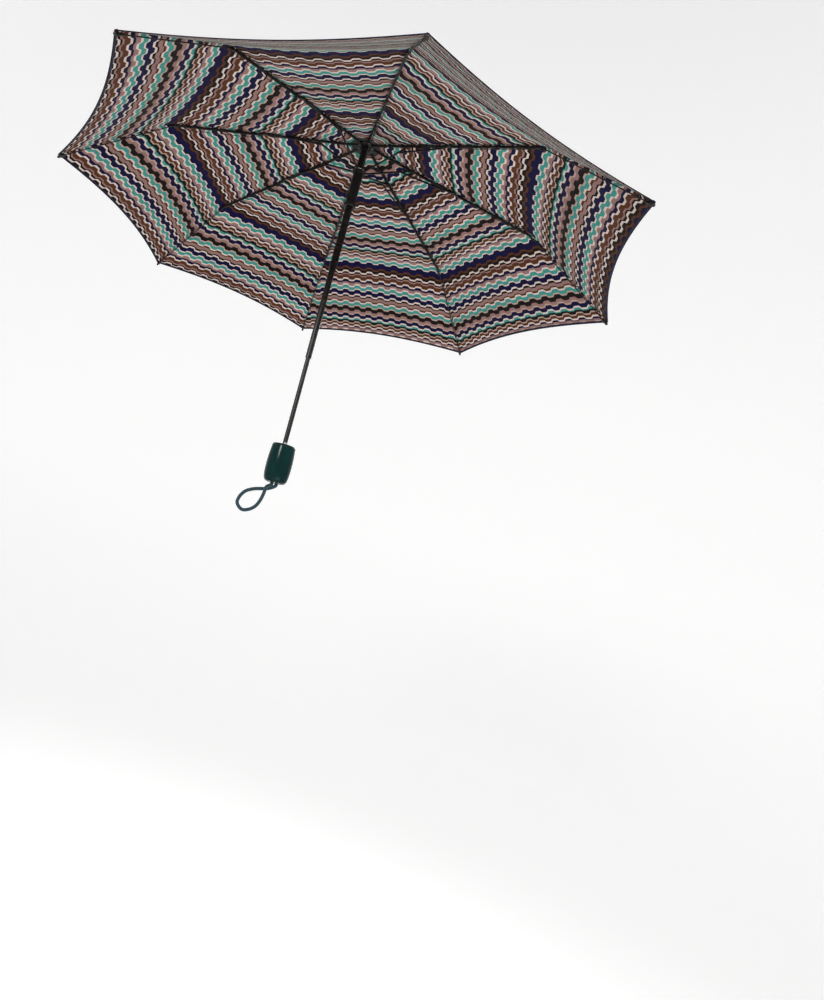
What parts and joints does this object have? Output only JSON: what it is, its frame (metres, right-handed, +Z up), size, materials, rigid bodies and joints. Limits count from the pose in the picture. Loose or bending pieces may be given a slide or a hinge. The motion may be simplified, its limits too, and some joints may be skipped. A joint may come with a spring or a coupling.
{
  "type": "folding umbrella",
  "caption": "Three-fold pocket umbrella, shown open: telescoping shaft, folding ribs, printed fabric canopy, push-button grip and wrist loop.",
  "frame": {"origin": "centre of the hand grip, on the shaft's axis", "axes": "+Z up the shaft to the ferrule; +Y out through the push button; rib 0 points along +X"},
  "size_m": [0.9892, 0.9892, 0.6873],
  "materials": {
    "black_steel": "glossy black coating with faint metallic glints",
    "bare_steel": "bright spring wire",
    "black_plastic": "moulded, slightly satin",
    "teal_plastic": "glossy dark teal",
    "teal_cord": "braided cord",
    "canopy_fabric": "printed pongee, wavy stripes in navy, teal, mauve, brown and off-white"
  },
  "bodies": {
    "handle": {"handle_shell": "teal_plastic", "handle_cup": "black_plastic", "handle_end_cap": "teal_plastic", "handle_pin": "bare_steel", "lower_tube": "black_steel", "opening_spring": "bare_steel", "wrist_loop": "teal_cord"},
    "push_button": {"push_button": "black_plastic", "catch_plate": "bare_steel", "button_spring": "bare_steel"},
    "middle_tube": {"middle_tube": "black_steel"},
    "upper_tube": {"upper_tube": "black_steel", "crown_notch": "black_plastic", "crown_wire": "bare_steel", "ferrule": "black_plastic", "canopy": "canopy_fabric"},
    "runner": {"runner": "black_plastic", "runner_wire": "bare_steel"},
    "top_rib_0": {"top_rib_0": "black_steel"},
    "stretcher_0": {"stretcher_0": "black_steel"},
    "link_bar_0": {"link_bar_0": "black_steel"},
    "mid_rib_0": {"mid_rib_0": "black_steel"},
    "tip_rib_0": {"tip_rib_0": "black_steel"},
    "top_rib_1": {"top_rib_1": "black_steel"},
    "stretcher_1": {"stretcher_1": "black_steel"},
    "link_bar_1": {"link_bar_1": "black_steel"},
    "mid_rib_1": {"mid_rib_1": "black_steel"},
    "tip_rib_1": {"tip_rib_1": "black_steel"},
    "top_rib_2": {"top_rib_2": "black_steel"},
    "stretcher_2": {"stretcher_2": "black_steel"},
    "link_bar_2": {"link_bar_2": "black_steel"},
    "mid_rib_2": {"mid_rib_2": "black_steel"},
    "tip_rib_2": {"tip_rib_2": "black_steel"},
    "top_rib_3": {"top_rib_3": "black_steel"},
    "stretcher_3": {"stretcher_3": "black_steel"},
    "link_bar_3": {"link_bar_3": "black_steel"},
    "mid_rib_3": {"mid_rib_3": "black_steel"},
    "tip_rib_3": {"tip_rib_3": "black_steel"},
    "top_rib_4": {"top_rib_4": "black_steel"},
    "stretcher_4": {"stretcher_4": "black_steel"},
    "link_bar_4": {"link_bar_4": "black_steel"},
    "mid_rib_4": {"mid_rib_4": "black_steel"},
    "tip_rib_4": {"tip_rib_4": "black_steel"},
    "top_rib_5": {"top_rib_5": "black_steel"},
    "stretcher_5": {"stretcher_5": "black_steel"},
    "link_bar_5": {"link_bar_5": "black_steel"},
    "mid_rib_5": {"mid_rib_5": "black_steel"},
    "tip_rib_5": {"tip_rib_5": "black_steel"},
    "top_rib_6": {"top_rib_6": "black_steel"},
    "stretcher_6": {"stretcher_6": "black_steel"},
    "link_bar_6": {"link_bar_6": "black_steel"},
    "mid_rib_6": {"mid_rib_6": "black_steel"},
    "tip_rib_6": {"tip_rib_6": "black_steel"},
    "top_rib_7": {"top_rib_7": "black_steel"},
    "stretcher_7": {"stretcher_7": "black_steel"},
    "link_bar_7": {"link_bar_7": "black_steel"},
    "mid_rib_7": {"mid_rib_7": "black_steel"},
    "tip_rib_7": {"tip_rib_7": "black_steel"}
  },
  "joints": [
    {"name": "push_button_press", "type": "slide", "parent": "handle", "child": "push_button", "axis": [0, -1, 0], "range_m": [0, 0.002], "stiffness_N_per_m": 800},
    {"name": "middle_tube_slide", "type": "slide", "parent": "handle", "child": "middle_tube", "axis": [0, 0, -1], "range_m": [0, 0.164]},
    {"name": "upper_tube_slide", "type": "slide", "parent": "middle_tube", "child": "upper_tube", "axis": [0, 0, -1], "range_m": [0, 0.16]},
    {"name": "runner_slide", "type": "slide", "parent": "upper_tube", "child": "runner", "axis": [0, 0, -1], "range_m": [0, 0.11225], "deforming": ["canopy"]},
    {"name": "top_rib_0_hinge", "type": "hinge", "parent": "upper_tube", "child": "top_rib_0", "pos_m": [0.0135, 0, 0.5745], "axis": [0, 1, 0], "range_deg": [0, 78.32]},
    {"name": "stretcher_0_hinge", "type": "hinge", "parent": "top_rib_0", "child": "stretcher_0", "pos_m": [0.08694, 0, 0.55929], "axis": [0, 1, 0], "range_deg": [-144.81, 0]},
    {"name": "link_bar_0_hinge", "type": "hinge", "parent": "stretcher_0", "child": "link_bar_0", "pos_m": [0.07203, 0, 0.5535], "axis": [0, 1, 0], "range_deg": [0, 147.99]},
    {"name": "mid_rib_0_hinge", "type": "hinge", "parent": "top_rib_0", "child": "mid_rib_0", "pos_m": [0.17052, 0, 0.54372], "axis": [0, 1, 0], "range_deg": [-180.02, 0]},
    {"name": "tip_rib_0_hinge", "type": "hinge", "parent": "mid_rib_0", "child": "tip_rib_0", "pos_m": [0.32259, 0, 0.50875], "axis": [0, 1, 0], "range_deg": [0, 158.12]},
    {"name": "top_rib_1_hinge", "type": "hinge", "parent": "upper_tube", "child": "top_rib_1", "pos_m": [0.00955, 0.00955, 0.5745], "axis": [-0.7071, 0.7071, 0], "range_deg": [0, 78.32]},
    {"name": "stretcher_1_hinge", "type": "hinge", "parent": "top_rib_1", "child": "stretcher_1", "pos_m": [0.06148, 0.06148, 0.55929], "axis": [-0.7071, 0.7071, 0], "range_deg": [-144.81, 0]},
    {"name": "link_bar_1_hinge", "type": "hinge", "parent": "stretcher_1", "child": "link_bar_1", "pos_m": [0.05093, 0.05093, 0.5535], "axis": [-0.7071, 0.7071, 0], "range_deg": [0, 147.99]},
    {"name": "mid_rib_1_hinge", "type": "hinge", "parent": "top_rib_1", "child": "mid_rib_1", "pos_m": [0.12058, 0.12058, 0.54372], "axis": [-0.7071, 0.7071, 0], "range_deg": [-180.02, 0]},
    {"name": "tip_rib_1_hinge", "type": "hinge", "parent": "mid_rib_1", "child": "tip_rib_1", "pos_m": [0.22811, 0.22811, 0.50875], "axis": [-0.7071, 0.7071, 0], "range_deg": [0, 158.12]},
    {"name": "top_rib_2_hinge", "type": "hinge", "parent": "upper_tube", "child": "top_rib_2", "pos_m": [0, 0.0135, 0.5745], "axis": [-1, 0, 0], "range_deg": [0, 78.32]},
    {"name": "stretcher_2_hinge", "type": "hinge", "parent": "top_rib_2", "child": "stretcher_2", "pos_m": [0, 0.08694, 0.55929], "axis": [-1, 0, 0], "range_deg": [-144.81, 0]},
    {"name": "link_bar_2_hinge", "type": "hinge", "parent": "stretcher_2", "child": "link_bar_2", "pos_m": [0, 0.07203, 0.5535], "axis": [-1, 0, 0], "range_deg": [0, 147.99]},
    {"name": "mid_rib_2_hinge", "type": "hinge", "parent": "top_rib_2", "child": "mid_rib_2", "pos_m": [0, 0.17052, 0.54372], "axis": [-1, 0, 0], "range_deg": [-180.02, 0]},
    {"name": "tip_rib_2_hinge", "type": "hinge", "parent": "mid_rib_2", "child": "tip_rib_2", "pos_m": [0, 0.32259, 0.50875], "axis": [-1, 0, 0], "range_deg": [0, 158.12]},
    {"name": "top_rib_3_hinge", "type": "hinge", "parent": "upper_tube", "child": "top_rib_3", "pos_m": [-0.00955, 0.00955, 0.5745], "axis": [-0.7071, -0.7071, 0], "range_deg": [0, 78.32]},
    {"name": "stretcher_3_hinge", "type": "hinge", "parent": "top_rib_3", "child": "stretcher_3", "pos_m": [-0.06148, 0.06148, 0.55929], "axis": [-0.7071, -0.7071, 0], "range_deg": [-144.81, 0]},
    {"name": "link_bar_3_hinge", "type": "hinge", "parent": "stretcher_3", "child": "link_bar_3", "pos_m": [-0.05093, 0.05093, 0.5535], "axis": [-0.7071, -0.7071, 0], "range_deg": [0, 147.99]},
    {"name": "mid_rib_3_hinge", "type": "hinge", "parent": "top_rib_3", "child": "mid_rib_3", "pos_m": [-0.12058, 0.12058, 0.54372], "axis": [-0.7071, -0.7071, 0], "range_deg": [-180.02, 0]},
    {"name": "tip_rib_3_hinge", "type": "hinge", "parent": "mid_rib_3", "child": "tip_rib_3", "pos_m": [-0.22811, 0.22811, 0.50875], "axis": [-0.7071, -0.7071, 0], "range_deg": [0, 158.12]},
    {"name": "top_rib_4_hinge", "type": "hinge", "parent": "upper_tube", "child": "top_rib_4", "pos_m": [-0.0135, 0, 0.5745], "axis": [0, -1, 0], "range_deg": [0, 78.32]},
    {"name": "stretcher_4_hinge", "type": "hinge", "parent": "top_rib_4", "child": "stretcher_4", "pos_m": [-0.08694, 0, 0.55929], "axis": [0, -1, 0], "range_deg": [-144.81, 0]},
    {"name": "link_bar_4_hinge", "type": "hinge", "parent": "stretcher_4", "child": "link_bar_4", "pos_m": [-0.07203, 0, 0.5535], "axis": [0, -1, 0], "range_deg": [0, 147.99]},
    {"name": "mid_rib_4_hinge", "type": "hinge", "parent": "top_rib_4", "child": "mid_rib_4", "pos_m": [-0.17052, 0, 0.54372], "axis": [0, -1, 0], "range_deg": [-180.02, 0]},
    {"name": "tip_rib_4_hinge", "type": "hinge", "parent": "mid_rib_4", "child": "tip_rib_4", "pos_m": [-0.32259, 0, 0.50875], "axis": [0, -1, 0], "range_deg": [0, 158.12]},
    {"name": "top_rib_5_hinge", "type": "hinge", "parent": "upper_tube", "child": "top_rib_5", "pos_m": [-0.00955, -0.00955, 0.5745], "axis": [0.7071, -0.7071, 0], "range_deg": [0, 78.32]},
    {"name": "stretcher_5_hinge", "type": "hinge", "parent": "top_rib_5", "child": "stretcher_5", "pos_m": [-0.06148, -0.06148, 0.55929], "axis": [0.7071, -0.7071, 0], "range_deg": [-144.81, 0]},
    {"name": "link_bar_5_hinge", "type": "hinge", "parent": "stretcher_5", "child": "link_bar_5", "pos_m": [-0.05093, -0.05093, 0.5535], "axis": [0.7071, -0.7071, 0], "range_deg": [0, 147.99]},
    {"name": "mid_rib_5_hinge", "type": "hinge", "parent": "top_rib_5", "child": "mid_rib_5", "pos_m": [-0.12058, -0.12058, 0.54372], "axis": [0.7071, -0.7071, 0], "range_deg": [-180.02, 0]},
    {"name": "tip_rib_5_hinge", "type": "hinge", "parent": "mid_rib_5", "child": "tip_rib_5", "pos_m": [-0.22811, -0.22811, 0.50875], "axis": [0.7071, -0.7071, 0], "range_deg": [0, 158.12]},
    {"name": "top_rib_6_hinge", "type": "hinge", "parent": "upper_tube", "child": "top_rib_6", "pos_m": [0, -0.0135, 0.5745], "axis": [1, 0, 0], "range_deg": [0, 78.32]},
    {"name": "stretcher_6_hinge", "type": "hinge", "parent": "top_rib_6", "child": "stretcher_6", "pos_m": [0, -0.08694, 0.55929], "axis": [1, 0, 0], "range_deg": [-144.81, 0]},
    {"name": "link_bar_6_hinge", "type": "hinge", "parent": "stretcher_6", "child": "link_bar_6", "pos_m": [0, -0.07203, 0.5535], "axis": [1, 0, 0], "range_deg": [0, 147.99]},
    {"name": "mid_rib_6_hinge", "type": "hinge", "parent": "top_rib_6", "child": "mid_rib_6", "pos_m": [0, -0.17052, 0.54372], "axis": [1, 0, 0], "range_deg": [-180.02, 0]},
    {"name": "tip_rib_6_hinge", "type": "hinge", "parent": "mid_rib_6", "child": "tip_rib_6", "pos_m": [0, -0.32259, 0.50875], "axis": [1, 0, 0], "range_deg": [0, 158.12]},
    {"name": "top_rib_7_hinge", "type": "hinge", "parent": "upper_tube", "child": "top_rib_7", "pos_m": [0.00955, -0.00955, 0.5745], "axis": [0.7071, 0.7071, 0], "range_deg": [0, 78.32]},
    {"name": "stretcher_7_hinge", "type": "hinge", "parent": "top_rib_7", "child": "stretcher_7", "pos_m": [0.06148, -0.06148, 0.55929], "axis": [0.7071, 0.7071, 0], "range_deg": [-144.81, 0]},
    {"name": "link_bar_7_hinge", "type": "hinge", "parent": "stretcher_7", "child": "link_bar_7", "pos_m": [0.05093, -0.05093, 0.5535], "axis": [0.7071, 0.7071, 0], "range_deg": [0, 147.99]},
    {"name": "mid_rib_7_hinge", "type": "hinge", "parent": "top_rib_7", "child": "mid_rib_7", "pos_m": [0.12058, -0.12058, 0.54372], "axis": [0.7071, 0.7071, 0], "range_deg": [-180.02, 0]},
    {"name": "tip_rib_7_hinge", "type": "hinge", "parent": "mid_rib_7", "child": "tip_rib_7", "pos_m": [0.22811, -0.22811, 0.50875], "axis": [0.7071, 0.7071, 0], "range_deg": [0, 158.12]}
  ],
  "couplings": [
    {"joint": "top_rib_0_hinge", "follows": "runner_slide", "rad_per_m": 12.174},
    {"joint": "stretcher_0_hinge", "follows": "runner_slide", "rad_per_m": -22.511},
    {"joint": "link_bar_0_hinge", "follows": "runner_slide", "rad_per_m": 23.006},
    {"joint": "mid_rib_0_hinge", "follows": "runner_slide", "rad_per_m": -27.986},
    {"joint": "tip_rib_0_hinge", "follows": "runner_slide", "rad_per_m": 24.581},
    {"joint": "top_rib_1_hinge", "follows": "runner_slide", "rad_per_m": 12.174},
    {"joint": "stretcher_1_hinge", "follows": "runner_slide", "rad_per_m": -22.511},
    {"joint": "link_bar_1_hinge", "follows": "runner_slide", "rad_per_m": 23.006},
    {"joint": "mid_rib_1_hinge", "follows": "runner_slide", "rad_per_m": -27.986},
    {"joint": "tip_rib_1_hinge", "follows": "runner_slide", "rad_per_m": 24.581},
    {"joint": "top_rib_2_hinge", "follows": "runner_slide", "rad_per_m": 12.174},
    {"joint": "stretcher_2_hinge", "follows": "runner_slide", "rad_per_m": -22.511},
    {"joint": "link_bar_2_hinge", "follows": "runner_slide", "rad_per_m": 23.006},
    {"joint": "mid_rib_2_hinge", "follows": "runner_slide", "rad_per_m": -27.986},
    {"joint": "tip_rib_2_hinge", "follows": "runner_slide", "rad_per_m": 24.581},
    {"joint": "top_rib_3_hinge", "follows": "runner_slide", "rad_per_m": 12.174},
    {"joint": "stretcher_3_hinge", "follows": "runner_slide", "rad_per_m": -22.511},
    {"joint": "link_bar_3_hinge", "follows": "runner_slide", "rad_per_m": 23.006},
    {"joint": "mid_rib_3_hinge", "follows": "runner_slide", "rad_per_m": -27.986},
    {"joint": "tip_rib_3_hinge", "follows": "runner_slide", "rad_per_m": 24.581},
    {"joint": "top_rib_4_hinge", "follows": "runner_slide", "rad_per_m": 12.174},
    {"joint": "stretcher_4_hinge", "follows": "runner_slide", "rad_per_m": -22.511},
    {"joint": "link_bar_4_hinge", "follows": "runner_slide", "rad_per_m": 23.006},
    {"joint": "mid_rib_4_hinge", "follows": "runner_slide", "rad_per_m": -27.986},
    {"joint": "tip_rib_4_hinge", "follows": "runner_slide", "rad_per_m": 24.581},
    {"joint": "top_rib_5_hinge", "follows": "runner_slide", "rad_per_m": 12.174},
    {"joint": "stretcher_5_hinge", "follows": "runner_slide", "rad_per_m": -22.511},
    {"joint": "link_bar_5_hinge", "follows": "runner_slide", "rad_per_m": 23.006},
    {"joint": "mid_rib_5_hinge", "follows": "runner_slide", "rad_per_m": -27.986},
    {"joint": "tip_rib_5_hinge", "follows": "runner_slide", "rad_per_m": 24.581},
    {"joint": "top_rib_6_hinge", "follows": "runner_slide", "rad_per_m": 12.174},
    {"joint": "stretcher_6_hinge", "follows": "runner_slide", "rad_per_m": -22.511},
    {"joint": "link_bar_6_hinge", "follows": "runner_slide", "rad_per_m": 23.006},
    {"joint": "mid_rib_6_hinge", "follows": "runner_slide", "rad_per_m": -27.986},
    {"joint": "tip_rib_6_hinge", "follows": "runner_slide", "rad_per_m": 24.581},
    {"joint": "top_rib_7_hinge", "follows": "runner_slide", "rad_per_m": 12.174},
    {"joint": "stretcher_7_hinge", "follows": "runner_slide", "rad_per_m": -22.511},
    {"joint": "link_bar_7_hinge", "follows": "runner_slide", "rad_per_m": 23.006},
    {"joint": "mid_rib_7_hinge", "follows": "runner_slide", "rad_per_m": -27.986},
    {"joint": "tip_rib_7_hinge", "follows": "runner_slide", "rad_per_m": 24.581}
  ]
}
